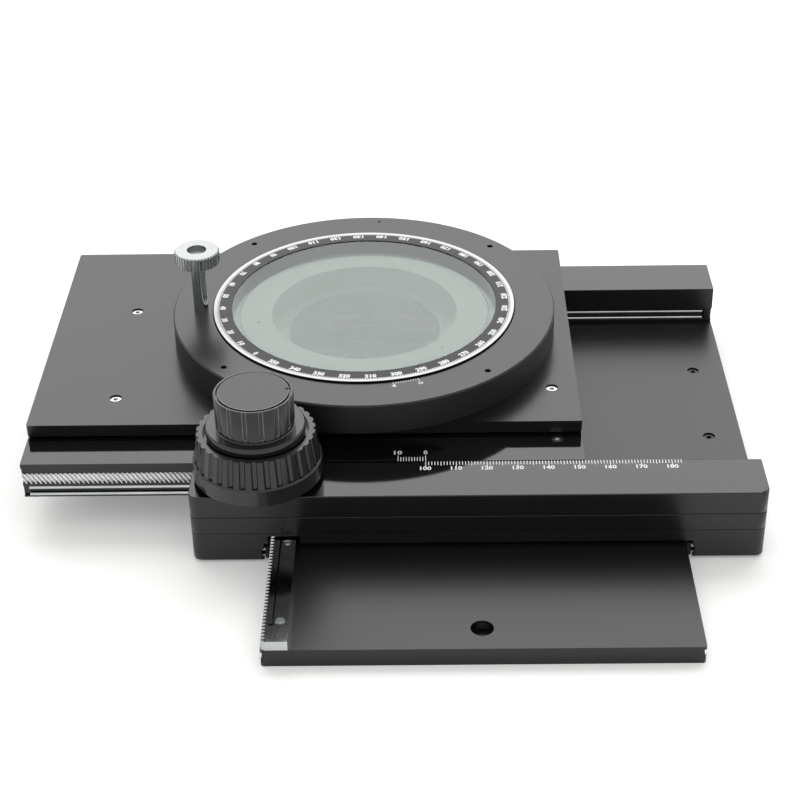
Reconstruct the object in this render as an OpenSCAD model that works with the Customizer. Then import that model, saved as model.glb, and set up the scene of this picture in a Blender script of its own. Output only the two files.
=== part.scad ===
// Mechanical microscope stage: two crossed ball slides driven through racks by a
// pair of coaxial knobs, with a rotating glass table on the upper slide.
//
// Frame: millimetres, +Z up. The origin is the middle of the base plate's underside,
// halfway between its two bolt holes. +Y points to the back, +X to the right.
// Three frames share these axes: the base plate's, the stage frame that slides along Y
// (shifted by rest_y), and the upper carriage that slides along X (shifted by rest_x too).

/* [Positions] */
// Where the upper carriage stands along X, from the middle of its travel guides
rest_x = -57.1; // [-58:0.1:-56]
// Where the stage frame stands along Y, from the middle of the base plate
rest_y = 51.35; // [50:0.05:52]
// Travel of the upper carriage along X
travel_x = 75; // [60:1:76]
// Travel of the stage frame along Y
travel_y = 60; // [50:1:62]

/* [Plates] */
// Length of the rails and of both carriage plates along X
frame_w = 185; // [180:0.5:190]
// Depth of the stage frame and of the base plate along Y
frame_d = 151.2; // [150:0.1:153]
// Radius of the frame's front corners seen from above
corner_r = 3; // [1:0.5:3.5]
// Radius of the frame's back corners seen from above
back_corner_r = 0.8; // [0.5:0.1:3.5]
// Width of the base plate
base_w = 134; // [133.6:0.1:134.4]
// Thickness of the base plate
base_t = 6.2; // [6:0.1:6.4]
// Underside of the two side rails
side_rail_z = 1.0; // [0.6:0.1:1.1]
// Underside of the mid plate
mid_z = 7.25; // [7:0.05:7.5]
// Thickness of the mid plate
mid_t = 4.1; // [3.9:0.1:4.3]
// Height of the guide bars
guide_bar_t = 6.25; // [6:0.05:6.5]
// Height of the top bars
top_bar_t = 8.2; // [8:0.1:8.4]
// Depth of the top bars along Y
top_bar_d = 19.1; // [18.9:0.1:19.2]

/* [Ball guides] */
// Distance of the Y guides' centre lines from the middle plane
guide_x = 68.1; // [68:0.1:68.2]
// Distance of the X guides' centre lines from the middle plane
guide_y = 56.1; // [56:0.1:56.2]
// Half the gap between the two faces of a guide
guide_gap = 1.1; // [1:0.1:1.2]
// Distance of each steel rod from the guide's centre line, along both axes
rod_off = 1.3; // [1.25:0.05:1.35]
// Radius of the steel rods
rod_r = 0.55; // [0.5:0.05:0.55]
// Radial clearance left between a ball and its four rods
ball_gap = 0.15; // [0.1:0.05:0.2]
// Spacing of the balls in a cage
ball_pitch = 10; // [8:1:12]
// Thickness of the cage strips
cage_t = 0.8; // [0.6:0.1:0.9]
// Half the height of the cage strips
cage_h = 1.6; // [1.5:0.1:1.7]

/* [Racks and pinions] */
// Module of all the teeth, in the plane across the pinion axes
tooth_module = 0.5; // [0.5:0.1:0.5]
// Teeth on the pinion that drives the X rack
x_pinion_teeth = 32; // [32:2:32]
// Teeth on the pinion that runs along the Y rack
y_pinion_teeth = 18; // [18:2:18]
// Slant of the teeth from the pinion axis, in degrees
helix = 30; // [20:1:33]
// Pressure angle of the teeth, in degrees
pressure = 20; // [18:1:22]
// Thinning of each tooth at the pitch line, for backlash
backlash = 0.12; // [0.08:0.01:0.16]
// X of the tips of the Y rack, seen from the base plate's middle
y_rack_tip_x = -66.7; // [-66.8:0.05:-66.6]
// Width of the Y rack bar
y_rack_w = 8.1; // [7.8:0.1:8.4]
// Height of the Y rack bar
y_rack_t = 3.3; // [3:0.1:3.4]
// Length of the Y rack bar
y_rack_l = 96; // [90:1:100]

/* [Knobs] */
// Y of the knob axis, from the stage frame's middle
knob_y = -62.5; // [-62.6:0.05:-62.4]
// Radius of the large knob's plain skirt
skirt_r = 20.9; // [20:0.1:21]
// Radius of the large knob's rim
rim_r = 19; // [18.5:0.1:19.5]
// Height of the large knob's underside
skirt_z = 27.3; // [27.2:0.1:27.5]
// Height of the large knob's rim
rim_z = 42.9; // [42:0.1:43]
// Flutes on the large knob
big_flutes = 32; // [24:2:36]
// Radius of the small knob
small_r = 12.7; // [12:0.1:13]
// Radius of the small knob's flange
flange_r = 15.95; // [15:0.05:16.2]
// Height of the small knob's top
small_z = 57.3; // [56:0.1:58]
// Flutes on the small knob
small_flutes = 15; // [13:1:18]

/* [Upper carriage] */
// Height of the slide plate's upper face
slide_top = 25.3; // [25.2:0.05:25.5]
// Thickness of the slide plate
slide_t = 4.3; // [4.2:0.1:4.4]
// Height of the land under the top plate
land_t = 1.0; // [0.9:0.1:1.2]
// Thickness of the top plate
top_t = 4.3; // [4:0.1:4.5]
// Front edge of the top plate, from the carriage's middle
top_front = -40.4; // [-40.6:0.05:-40.3]
// Back edge of the top plate, from the carriage's middle
top_back = 80.1; // [79:0.1:81]

/* [Rotating table] */
// X of the table's centre, from the carriage's middle
table_x = 19; // [18.5:0.1:19.5]
// Y of the table's centre, from the carriage's middle
table_y = 21; // [20.8:0.1:21.2]
// Radius of the ring housing
housing_r = 67.8; // [67.4:0.1:67.9]
// Height of the ring housing
housing_h = 10.6; // [10.4:0.1:10.8]
// Radius of the glass disc
glass_r = 47; // [46.5:0.1:47.1]
// Thickness of the glass disc
glass_t = 3; // [2.5:0.1:3.2]
// Radius of the clear hole through the top plate
hole_r = 27; // [26:0.5:28]

/* [Hidden] */
$fn = 96;

// How far a cutting shape runs past the face it opens
cut = 1;

// Guides
groove_half = rod_off + rod_r;
ball_r = rod_off * sqrt(2) - rod_r - ball_gap;
y_guide_z = base_t / 2;
guide_bar_z = mid_z + mid_t;
x_guide_z = guide_bar_z + guide_bar_t / 2;
top_bar_z = guide_bar_z + guide_bar_t;
rail_top = top_bar_z + top_bar_t;
rail_rod_l = 178;
slide_rod_l = 181;
base_rod_l = 148;
side_rod_l = 149;
x_cage_l = 110;
y_cage_l = 90;

// Teeth
pitch = PI * tooth_module;
addendum = tooth_module;
dedendum = 1.25 * tooth_module;
x_pinion_r = tooth_module * x_pinion_teeth / 2;
y_pinion_r = tooth_module * y_pinion_teeth / 2;
knob_x = y_rack_tip_x + addendum - y_pinion_r;
knob_base_y = knob_y + rest_y;
x_rack_pitch_y = knob_y + x_pinion_r;
flank_steps = 4;
slices = 3;

// Racks and pinions along Z
x_rack_z = 17.3;
x_rack_t = 3.7;
x_rack_d = 5.6;
x_pinion_z = 17.8;
x_pinion_t = 3.0;
y_pinion_z = 6.5;
y_pinion_t = 2.9;
y_rack_z = base_t;
y_rack_front = -frame_d / 2;
y_rack_back_x = y_rack_tip_x + y_rack_w;
y_rack_screw_x = -61.2;
y_rack_screws_y = [-65.8, -26.9, 12];
y_rack_cbore_r = 1.65;
y_rack_head_r = 1.5;
y_slot_x = -63.45;
y_slot_front = -68;

// Knob stack along Z
tube_r = 4;
tube_bore = 2.6;
shaft_r = 2.5;
run = 0.03;
upper_bush_r = 5.5;
lower_bush_r = 4.5;
x_pocket_r = 9.1;
x_pocket_top = 21.4;
y_pocket_r = 5.6;
bush_flange_r = 8;
bush_flange_top = rail_top + 0.8;
recess_z = 41;
recess_r = 17;
flange_z = 42.6;
flange_top = 45.6;
cap_r = 11.3;
cap_pocket_r = 11.9;
cap_z = 56.1;
cap_top = 57.5;
flute_r = 20.3;
flute_low = 33.6;
flute_depth = 0.65;
flute_turn = 2.15;
small_flute_low = 47;
small_flute_turn = 20.5;
grub_angle = 60;
grub_z = 30;
grub_r = 1.5;
small_grub_z = 44.1;
small_grub_r = 1;

// Upper carriage along Z
strip_bottom = 12.1;
slide_bottom = slide_top - slide_t;
top_z = slide_top + land_t;
housing_z = top_z + top_t;
housing_top = housing_z + housing_h;
lip_t = 1.7;
front_strip_back = -34;
rear_strip_front = 44;
slide_screws_x = [-80, -40, 0, 40, 80];
visible_screw = [84.2, -42.9];
top_screws = [[-64.8, 35.6], [-64.8, -23.7], [83.7, 35.6], [83.7, -19.6]];
x_stop = [20, -30];
y_stop = [40, 40];
y_stop_r = 2;
x_stop_r = 2.5;
stop_gap = 0.2;

// Rotating table, radii and heights
housing_bore = 53.9;
cavity_r = 61.2;
cavity_top = housing_z + 7.2;
seat_r = 61.1;
seat_top = housing_z + 4.8;
neck_r = 44;
neck_top = housing_z + 7.6;
neck_bore = 33;
ring_flange_r = 60.2;
ring_flange_z = seat_top + 0.6;
ring_flange_top = ring_flange_z + 1.5;
ring_r = 53.6;
ring_bore = 47.1;
ring_ledge = 44.6;
ring_top = housing_top + 0.6;
glass_z = housing_z + 7.9;
ring_screw_r = 63;
ring_screw_angles = [42.5, 132.5, 222.5, 312.5];
oil_hole_r = 63.8;
oil_hole_angle = 86;
seat_pin_r = 38;
seat_pin_angles = [-168.4, -43.4];
clamp_r = 58;
clamp_angle = 181.8;
clamp_stem_r = 2.6;
clamp_head_r = 7.9;
clamp_head_z = 59.6;
clamp_head_t = 4.9;
clamp_notches = 40;

// Bolts that hold the base plate down
bolt_y = 66;
bolt_r = 2.25;
bolt_head_r = 3.6;
bolt_head_t = 4;

// Screws
x_rack_screws_x = [-88, -30, 30, 88];
x_rack_screw_y = -52;
side_screw_x = 81.3;
side_screws_y = [-64.4, -21.5, 21.5, 64.4];
rail_screws_x = [-48, -16, 16, 48];
rail_screw_y = 67;
screw_r = 1;
head_r = 1.9;
head_t = 1.9;
cbore_r = 2.1;
cbore_t = 2.4;

// ---- Frames ----

module in_stage() translate([0, rest_y, 0]) children();
module in_carriage() translate([rest_x, rest_y, 0]) children();
module at_table() in_carriage() translate([table_x, table_y, 0]) children();
module at_knob() in_stage() translate([knob_x, knob_y, 0]) children();
module at_clamp() at_table() rotate([0, 0, clamp_angle]) translate([clamp_r, 0, 0]) children();

// ---- Shapes used more than once ----

// A plate centred in X and Y, standing on z, with round corners of two radii: the front
// pair's and the back pair's
module slab(size, radii, z) {
    half = [size.x / 2, size.y / 2];
    translate([0, 0, z]) linear_extrude(size.z) {
        translate([-half.x, radii[0] - half.y]) square([size.x, size.y - radii[0] - radii[1]]);
        for (i = [0, 1]) mirror([0, 1 - i, 0]) {
            corner = [half.x - radii[i], half.y - radii[i]];
            translate([-corner.x, 0]) square([2 * corner.x, half.y]);
            for (x = [-1, 1]) translate([x * corner.x, corner.y]) circle(radii[i]);
        }
    }
}

// A box from one corner to the opposite one
module block(low, high) translate(low) cube(high - low);

// A washer or a tube standing on z
module tube(outer, inner, z, height) {
    translate([0, 0, z]) difference() {
        cylinder(r = outer, h = height);
        translate([0, 0, -cut]) cylinder(r = inner, h = height + 2 * cut);
    }
}

module post(radius, z, top) translate([0, 0, z]) cylinder(r = radius, h = top - z);

// A cap screw with its head's top at z and a hexagonal socket, hanging down
module cap_screw(z, length) {
    difference() {
        union() {
            post(head_r, z - head_t, z);
            post(screw_r, z - length, z - head_t);
        }
        translate([0, 0, z - 1]) cylinder(r = 0.9, h = cut + 1, $fn = 6);
    }
}

// The hole for a cap screw, counterbored from z downwards
module cap_screw_hole(z, length) {
    post(cbore_r, z - cbore_t, z + cut);
    post(screw_r, z - length - 0.5, z);
}

// The square channel of a ball guide that runs along X through the origin
module groove(length) cube([length, 2 * groove_half, 2 * groove_half], center = true);

// The two steel rods in the corners of one half of a guide, on its +Y or -Y side
module rods(length, side) {
    for (z = [-1, 1])
        translate([0, side * rod_off, z * rod_off])
            rotate([0, 90, 0]) cylinder(r = rod_r, h = length, center = true, $fn = 24);
}

function ball_places(length) =
    let (count = floor((length - ball_pitch) / ball_pitch))
    [for (i = [0:count]) (i - count / 2) * ball_pitch];

// The strip that spaces the balls of a guide
module cage(length) {
    difference() {
        cube([length, cage_t, 2 * cage_h], center = true);
        for (x = ball_places(length))
            translate([x, 0, 0]) rotate([90, 0, 0])
                cylinder(r = ball_r + 0.08, h = cage_t + 2 * cut, center = true, $fn = 24);
    }
}

module balls(length) {
    for (x = ball_places(length)) translate([x, 0, 0]) sphere(ball_r, $fn = 24);
}

module along_y() rotate([0, 0, 90]) children();

// ---- Teeth ----

// Half the width of a rack tooth at a height above its pitch line
function rack_half(h) = pitch / 4 - backlash / 2 - h * tan(pressure);

// Outline of a rack with its teeth pointing to -Y, squeezed along X by the slant
function rack_outline(count, depth) =
    let (s = cos(helix))
    concat(
        [for (i = [-count:count], k = [0:3])
            let (h = k == 0 || k == 3 ? -dedendum : addendum, side = k < 2 ? -1 : 1)
            [(i * pitch + side * rack_half(h)) * s, -h]],
        [[(count * pitch + pitch) * s, dedendum], [(count * pitch + pitch) * s, depth],
         [-(count * pitch + pitch) * s, depth], [-(count * pitch + pitch) * s, dedendum]]
    );

// A rack bar along X with its pitch line on the X axis and a tooth at the origin at
// mid height, cut to length from x0 to x1; its teeth lean to +X as they go down
module rack(x0, x1, depth, height) {
    reach = max(abs(x0), abs(x1)) + height;
    intersection() {
        rotate([0, -helix, 0]) linear_extrude(2 * reach * tan(helix), center = true)
            polygon(rack_outline(ceil(reach / pitch), depth));
        block([x0, -addendum - cut, -height / 2], [x1, depth + cut, height / 2]);
    }
}

function involute(rb, a) = [rb * (cos(a) + a * PI / 180 * sin(a)), rb * (sin(a) - a * PI / 180 * cos(a))];

// One flank of a tooth of the pinion, as [radius, half angle] pairs from root to tip
function flank(teeth) =
    let (r = tooth_module * teeth / 2, rb = r * cos(pressure), tip = r + addendum,
         at_pitch = tan(pressure) * 180 / PI - pressure,
         half = 90 / teeth - backlash / 2 / r * 180 / PI)
    [for (k = [0:flank_steps])
        let (rk = rb + (tip - rb) * k / flank_steps, a = acos(rb / rk))
        [rk, half + at_pitch - (tan(a) * 180 / PI - a)]];

// Outline of a pinion with a gap on its +Y side
function pinion_outline(teeth) =
    let (f = flank(teeth), root = tooth_module * teeth / 2 - dedendum, n = len(f) - 1)
    [for (t = [0:teeth - 1])
        let (mid = 90 + (t + 0.5) * 360 / teeth)
        each concat(
            [[root * cos(mid - f[0][1]), root * sin(mid - f[0][1])]],
            [for (k = [0:n]) f[k][0] * [cos(mid - f[k][1]), sin(mid - f[k][1])]],
            [for (k = [n:-1:0]) f[k][0] * [cos(mid + f[k][1]), sin(mid + f[k][1])]],
            [[root * cos(mid + f[0][1]), root * sin(mid + f[0][1])]]
        )];

// A pinion standing on z that matches the rack's slant, in phase at phase_z
module pinion(teeth, bore, z, height, phase_z) {
    turn = tan(helix) / (tooth_module * teeth / 2) * 180 / PI;
    difference() {
        translate([0, 0, z]) rotate([0, 0, (z - phase_z) * turn])
            linear_extrude(height, twist = -turn * height, slices = slices)
                polygon(pinion_outline(teeth));
        translate([0, 0, z - cut]) cylinder(r = bore, h = height + 2 * cut);
    }
}

// ---- Base plate and what is fixed to it ----

module base_plate() {
    color("#2b2c2c") difference() {
        slab([base_w, frame_d, base_t], [1, 1], 0);
        for (s = [-1, 1])
            translate([s * guide_x, 0, y_guide_z]) along_y() groove(frame_d + 2 * cut);
        for (y = [-bolt_y, bolt_y]) translate([0, y, 0]) {
            post(bolt_r, -cut, base_t + cut);
            post(bolt_head_r, base_t - bolt_head_t, base_t + cut);
        }
        for (y = y_rack_screws_y)
            translate([y_rack_screw_x, y, 0]) post(screw_r, 2, base_t + cut);
        translate([y_stop.x, y_stop.y, 0]) post(y_stop_r, 3, base_t + cut);
    }
}

// The steel rack bar; its slit lets the toothed edge spring against the pinion
module y_rack_bar() {
    front = y_rack_front - knob_base_y;
    color("#c9cccd") difference() {
        translate([y_rack_tip_x + addendum, knob_base_y, y_rack_z + y_rack_t / 2])
            rotate([0, 0, -90])
                rack(-front - y_rack_l, -front, y_rack_w - addendum, y_rack_t);
        for (y = y_rack_screws_y)
            translate([y_rack_screw_x, y, 0]) {
                post(screw_r, y_rack_z - cut, y_rack_z + y_rack_t + cut);
                post(y_rack_cbore_r, y_rack_z + 1.6, y_rack_z + y_rack_t + cut);
            }
        block([y_slot_x - 0.25, y_slot_front, y_rack_z - cut], [y_slot_x + 0.25, 12, 10]);
        block([y_slot_x - 1.2, y_slot_front, y_rack_z - cut],
              [y_slot_x + 0.25, y_slot_front + 0.8, 10]);
    }
}

module y_rack_screws() {
    color("#dfe2e3") for (y = y_rack_screws_y)
        translate([y_rack_screw_x, y, 0]) difference() {
            union() {
                post(y_rack_head_r, y_rack_z + 1.6, y_rack_z + 3);
                post(screw_r, 2, y_rack_z + 1.6);
            }
            translate([0, 0, y_rack_z + 2.2]) cylinder(r = 0.9, h = 2, $fn = 6);
        }
}

module base_guide_rods() {
    color("#e2e5e6") for (s = [-1, 1])
        translate([s * guide_x, 0, y_guide_z]) along_y() rods(base_rod_l, s);
}

module y_stop_pin() {
    color("#c9cccd") translate([y_stop.x, y_stop.y, 0]) post(y_stop_r, 3, base_t + 3);
}

module y_ball_cages() {
    color("#b08d4a") for (s = [-1, 1])
        translate([s * guide_x, rest_y / 2, y_guide_z]) along_y() cage(y_cage_l);
}

module y_guide_balls() {
    color("#e2e5e6") for (s = [-1, 1])
        translate([s * guide_x, rest_y / 2, y_guide_z]) along_y() balls(y_cage_l);
}

// ---- Stage frame: mid plate, side rails and the two X rails ----

module mid_plate() {
    color("#323333") in_stage() difference() {
        slab([frame_w, frame_d, mid_t], [corner_r, back_corner_r], mid_z);
        // Channel over the Y rack
        block([y_rack_tip_x - 1.2, -frame_d / 2 - cut, mid_z - cut],
              [y_rack_back_x + 1.2, 30, y_rack_z + y_rack_t + 0.75]);
        translate([knob_x, knob_y, 0]) post(y_pocket_r, mid_z - cut, guide_bar_z + cut);
        // Slot that the stop pin runs in
        translate([y_stop.x, y_stop.y - rest_y, 0]) {
            for (y = [0, travel_y]) translate([0, y, 0])
                post(y_stop_r + stop_gap, mid_z - cut, mid_z + 3);
            block([-y_stop_r - stop_gap, 0, mid_z - cut],
                  [y_stop_r + stop_gap, travel_y, mid_z + 3]);
        }
        // Access hole seen through the table
        translate([-42, 34.5, 0]) post(4.5, mid_z - cut, guide_bar_z + cut);
        for (x = [-side_screw_x, side_screw_x], y = side_screws_y)
            translate([x, y, 0]) cap_screw_hole(guide_bar_z, mid_t + 1);
        for (x = rail_screws_x, y = [-rail_screw_y, rail_screw_y])
            translate([x, y, 0]) {
                post(screw_r, mid_z - cut, guide_bar_z + cut);
                post(cbore_r, mid_z - cut, mid_z + cbore_t);
            }
        translate([x_stop.x, x_stop.y, 0]) post(x_stop_r, mid_z + 1, guide_bar_z + cut);
    }
}

module side_rail(side) {
    difference() {
        intersection() {
            slab([frame_w, frame_d, mid_z - side_rail_z], [corner_r, back_corner_r],
                 side_rail_z);
            block([side > 0 ? guide_x + guide_gap : -frame_w, -frame_d, 0],
                  [side > 0 ? frame_w : -guide_x - guide_gap, frame_d, mid_z + cut]);
        }
        translate([side * guide_x, 0, y_guide_z]) along_y() groove(frame_d + 2 * cut);
        for (y = side_screws_y)
            translate([side * side_screw_x, y, 0]) post(screw_r, 2.4, mid_z + cut);
        translate([knob_x, knob_y, 0]) post(y_pocket_r, y_pinion_z - 0.5, mid_z + cut);
    }
}

module side_rail_left() color("#2f3030") in_stage() side_rail(-1);
module side_rail_right() color("#2f3030") in_stage() side_rail(1);

module side_rail_screws() {
    color("#8e9192") in_stage()
        for (x = [-side_screw_x, side_screw_x], y = side_screws_y)
            translate([x, y, 0]) cap_screw(guide_bar_z - cbore_t + head_t, 8);
}

module side_guide_rods() {
    color("#e2e5e6") in_stage() for (s = [-1, 1])
        translate([s * guide_x, 0, y_guide_z]) along_y() rods(side_rod_l, -s);
}

// The part of the frame's outline from its front face back to a depth
module front_piece(radius, depth, height, z) {
    intersection() {
        slab([frame_w, frame_d, height], [radius, radius], z);
        block([-frame_w, -frame_d, z - cut], [frame_w, depth - frame_d / 2, z + height + cut]);
    }
}

module guide_bar(radius) {
    difference() {
        front_piece(radius, frame_d / 2 - guide_y - guide_gap, guide_bar_t, guide_bar_z);
        translate([0, -guide_y, x_guide_z]) groove(frame_w + 2 * cut);
        for (x = rail_screws_x) translate([x, -rail_screw_y, 0])
            post(screw_r, guide_bar_z - cut, top_bar_z + cut);
    }
}

module front_guide_bar() {
    color("#2f3030") in_stage() difference() {
        guide_bar(corner_r);
        translate([knob_x, knob_y, 0]) post(lower_bush_r, guide_bar_z - cut, top_bar_z + cut);
    }
}

module rear_guide_bar() {
    color("#2f3030") in_stage() mirror([0, 1, 0]) guide_bar(back_corner_r);
}

module top_bar(radius) {
    difference() {
        front_piece(radius, top_bar_d, top_bar_t, top_bar_z);
        for (x = rail_screws_x) translate([x, -rail_screw_y, 0])
            post(screw_r, top_bar_z - cut, top_bar_z + 4);
    }
}

module front_top_bar() {
    color("#343535") in_stage() difference() {
        top_bar(corner_r);
        translate([knob_x, knob_y, 0]) {
            post(x_pocket_r, top_bar_z - cut, x_pocket_top);
            post(upper_bush_r, top_bar_z, rail_top + cut);
        }
    }
}

module rear_top_bar() {
    color("#343535") in_stage() mirror([0, 1, 0]) top_bar(back_corner_r);
}

module rail_screws() {
    color("#8e9192") in_stage()
        for (x = rail_screws_x, y = [-rail_screw_y, rail_screw_y]) translate([x, y, 0]) {
            post(head_r, mid_z + cbore_t - head_t, mid_z + cbore_t);
            post(screw_r, mid_z + cbore_t, top_bar_z + 3.8);
        }
}

module rail_guide_rods() {
    color("#e2e5e6") in_stage() for (s = [-1, 1])
        translate([0, s * guide_y, x_guide_z]) rods(rail_rod_l, s);
}

// Small plates that keep the rods and the cages from running out of the rails
module rail_end_stops() {
    color("#6d7071") in_stage() for (x = [-1, 1], y = [-1, 1])
        translate([x * (rail_rod_l / 2 + 1.5), y * (guide_y + groove_half - 0.4), x_guide_z])
            cube([1.6, 0.8, 2 * groove_half], center = true);
}

module x_stop_post() {
    color("#c9cccd") in_stage() translate([x_stop.x, x_stop.y, 0])
        post(x_stop_r, mid_z + 1, guide_bar_z + 5);
}

module upper_bush() {
    color("#b98f4b") at_knob() difference() {
        union() {
            post(upper_bush_r, x_pocket_top, rail_top);
            post(bush_flange_r, rail_top, bush_flange_top);
        }
        post(tube_r + run, 0, 60);
    }
}

module lower_bush() {
    color("#b98f4b") at_knob() tube(lower_bush_r, shaft_r + run, guide_bar_z, guide_bar_t);
}

module x_ball_cages() {
    color("#b08d4a") in_stage() for (s = [-1, 1])
        translate([rest_x / 2, s * guide_y, x_guide_z]) cage(x_cage_l);
}

module x_guide_balls() {
    color("#e2e5e6") in_stage() for (s = [-1, 1])
        translate([rest_x / 2, s * guide_y, x_guide_z]) balls(x_cage_l);
}

// ---- Upper carriage ----

module slide_plate() {
    edge = guide_y - guide_gap - 0.6;
    lip = guide_y - 0.7;
    color("#343535") in_carriage() difference() {
        union() {
            block([-frame_w / 2, -edge, slide_bottom], [frame_w / 2, edge, slide_top]);
            block([-frame_w / 2, -lip, slide_top - lip_t], [frame_w / 2, lip, slide_top]);
            block([-frame_w / 2 + 3, top_front + 3, slide_top], [frame_w / 2 - 3, 53, top_z]);
        }
        translate([table_x, table_y, 0]) post(hole_r + 1, slide_bottom - cut, top_z + cut);
        for (x = slide_screws_x, y = [-37, 49]) translate([x, y, 0]) {
            post(cbore_r, top_z - cbore_t, top_z + cut);
            post(screw_r, slide_bottom - cut, top_z);
        }
        translate([visible_screw.x, visible_screw.y, 0]) {
            post(cbore_r, slide_top - 1.2, slide_top + cut);
            post(screw_r, slide_bottom - cut, slide_top);
        }
        for (p = top_screws) translate([p.x, p.y, 0]) post(screw_r, slide_bottom - cut, top_z + cut);
    }
}

module x_rack() {
    phase = knob_x - rest_x;
    color("#d5d8d9") in_carriage() difference() {
        translate([phase, x_rack_pitch_y, x_rack_z + x_rack_t / 2])
            rack(-frame_w / 2 - phase, frame_w / 2 - phase, x_rack_d - addendum, x_rack_t);
        for (x = x_rack_screws_x)
            translate([x, x_rack_screw_y, 0]) post(screw_r, x_rack_z - cut, slide_bottom + cut);
    }
}

// Set screws that pin the rack to the guide strip below it
module x_rack_screws() {
    color("#8e9192") in_carriage() for (x = x_rack_screws_x)
        translate([x, x_rack_screw_y, 0]) post(screw_r, x_rack_z - 0.9, slide_bottom);
}

module front_guide_strip() {
    face = -guide_y + guide_gap;
    rack_back = x_rack_pitch_y - addendum + x_rack_d;
    color("#2f3030") in_carriage() difference() {
        union() {
            block([-frame_w / 2, face, strip_bottom], [frame_w / 2, front_strip_back, x_rack_z]);
            block([-frame_w / 2, rack_back, strip_bottom],
                  [frame_w / 2, front_strip_back, slide_bottom]);
        }
        translate([0, -guide_y, x_guide_z]) groove(frame_w + 2 * cut);
        for (x = slide_screws_x) translate([x, -37, 0]) post(screw_r, 15, slide_bottom + cut);
        for (x = x_rack_screws_x)
            translate([x, x_rack_screw_y, 0]) post(screw_r, x_rack_z - 0.9, x_rack_z + cut);
    }
}

module rear_guide_strip() {
    color("#2f3030") in_carriage() difference() {
        block([-frame_w / 2, rear_strip_front, strip_bottom],
              [frame_w / 2, guide_y - guide_gap, slide_bottom]);
        translate([0, guide_y, x_guide_z]) groove(frame_w + 2 * cut);
        for (x = slide_screws_x) translate([x, 49, 0]) post(screw_r, 15, slide_bottom + cut);
    }
}

module slide_guide_rods() {
    color("#e2e5e6") in_carriage() for (s = [-1, 1])
        translate([0, s * guide_y, x_guide_z]) rods(slide_rod_l, -s);
}

module slide_screws() {
    color("#dfe2e3") in_carriage() {
        for (x = slide_screws_x, y = [-37, 49])
            translate([x, y, 0]) cap_screw(top_z - cbore_t + head_t, 8.5);
        translate([visible_screw.x, visible_screw.y, 0]) difference() {
            union() {
                post(head_r, slide_top - 1.2, slide_top - 0.2);
                post(screw_r, slide_bottom, slide_top - 1.2);
            }
            translate([0, 0, slide_top - 0.8]) cylinder(r = 0.9, h = cut, $fn = 6);
        }
    }
}

// Blocks under the slide plate that meet the stop post at both ends of the travel
module x_stop_dogs() {
    reach = x_stop_r + stop_gap;
    post_x = x_stop.x - rest_x;
    color("#6d7071") in_carriage() for (x = [post_x + reach, post_x - travel_x - reach - 4])
        block([x, x_stop.y - 4, 13], [x + 4, x_stop.y + 4, slide_bottom]);
}

module top_plate() {
    depth = top_back - top_front;
    color("#373838") in_carriage() difference() {
        translate([0, (top_back + top_front) / 2, 0])
            slab([frame_w, depth, top_t], [0.8, 0.8], top_z);
        translate([table_x, table_y, 0]) post(hole_r, top_z - cut, housing_z + cut);
        for (p = top_screws) translate([p.x, p.y, 0]) {
            post(cbore_r, housing_z - cbore_t, housing_z + cut);
            post(screw_r, top_z - cut, housing_z);
        }
        translate([table_x, table_y, 0]) for (a = ring_screw_angles)
            rotate([0, 0, a]) translate([ring_screw_r, 0, 0])
                post(0.9, top_z + 1, housing_z + cut);
    }
}

module top_plate_screws() {
    color("#e8eaea") in_carriage() for (p = top_screws)
        translate([p.x, p.y, 0]) cap_screw(housing_z - cbore_t + head_t, 7);
}

// ---- Rotating table ----

module table_seat() {
    color("#2c2d2d") at_table() difference() {
        union() {
            post(seat_r, housing_z, seat_top);
            post(neck_r, housing_z, neck_top);
        }
        post(neck_bore, housing_z - cut, neck_top + cut);
        for (a = seat_pin_angles) rotate([0, 0, a]) translate([seat_pin_r, 0, 0])
            post(0.6, neck_top - 1.5, neck_top + cut);
    }
}

module table_slide_ring() {
    color("#e9e6dc") at_table() tube(59, 50, seat_top, 0.5);
}

module ring_housing() {
    chamfer = 0.5;
    color("#2e2f2f") difference() {
        at_table() rotate_extrude($fn = 180) polygon([
            [housing_bore, cavity_top], [housing_bore, housing_top],
            [housing_r - chamfer, housing_top], [housing_r, housing_top - chamfer],
            [housing_r, housing_z], [cavity_r, housing_z], [cavity_r, cavity_top]
        ]);
        at_table() for (a = ring_screw_angles) rotate([0, 0, a])
            translate([ring_screw_r, 0, 0]) {
                post(0.9, housing_z - cut, housing_top - 1.5);
                post(1.1, housing_top - 1.5, housing_top + cut);
            }
        at_table() rotate([0, 0, oil_hole_angle]) translate([oil_hole_r, 0, 0])
            post(0.55, housing_top - 2, housing_top + cut);
        at_clamp() post(clamp_stem_r + run, cavity_top - cut, housing_top + cut);
    }
}

module ring_screws() {
    color("#4a4c4d") at_table() for (a = ring_screw_angles) rotate([0, 0, a])
        translate([ring_screw_r, 0, 0]) post(0.9, top_z + 1, housing_top - 0.8);
}

// The ring that turns with the glass; its foot runs under the housing's lip
module scale_ring() {
    color("#3a3d3c") at_table() rotate_extrude($fn = 180) polygon([
        [ring_ledge, ring_flange_z], [ring_flange_r, ring_flange_z],
        [ring_flange_r, ring_flange_top], [ring_r, ring_flange_top], [ring_r, ring_top],
        [ring_bore, ring_top], [ring_bore, glass_z], [ring_ledge, glass_z]
    ]);
}

module glass_disc() {
    color("#a9b8b1", 0.4) at_table() post(glass_r, glass_z, glass_z + glass_t);
}

// ---- Clamp screw of the table ----

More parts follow.
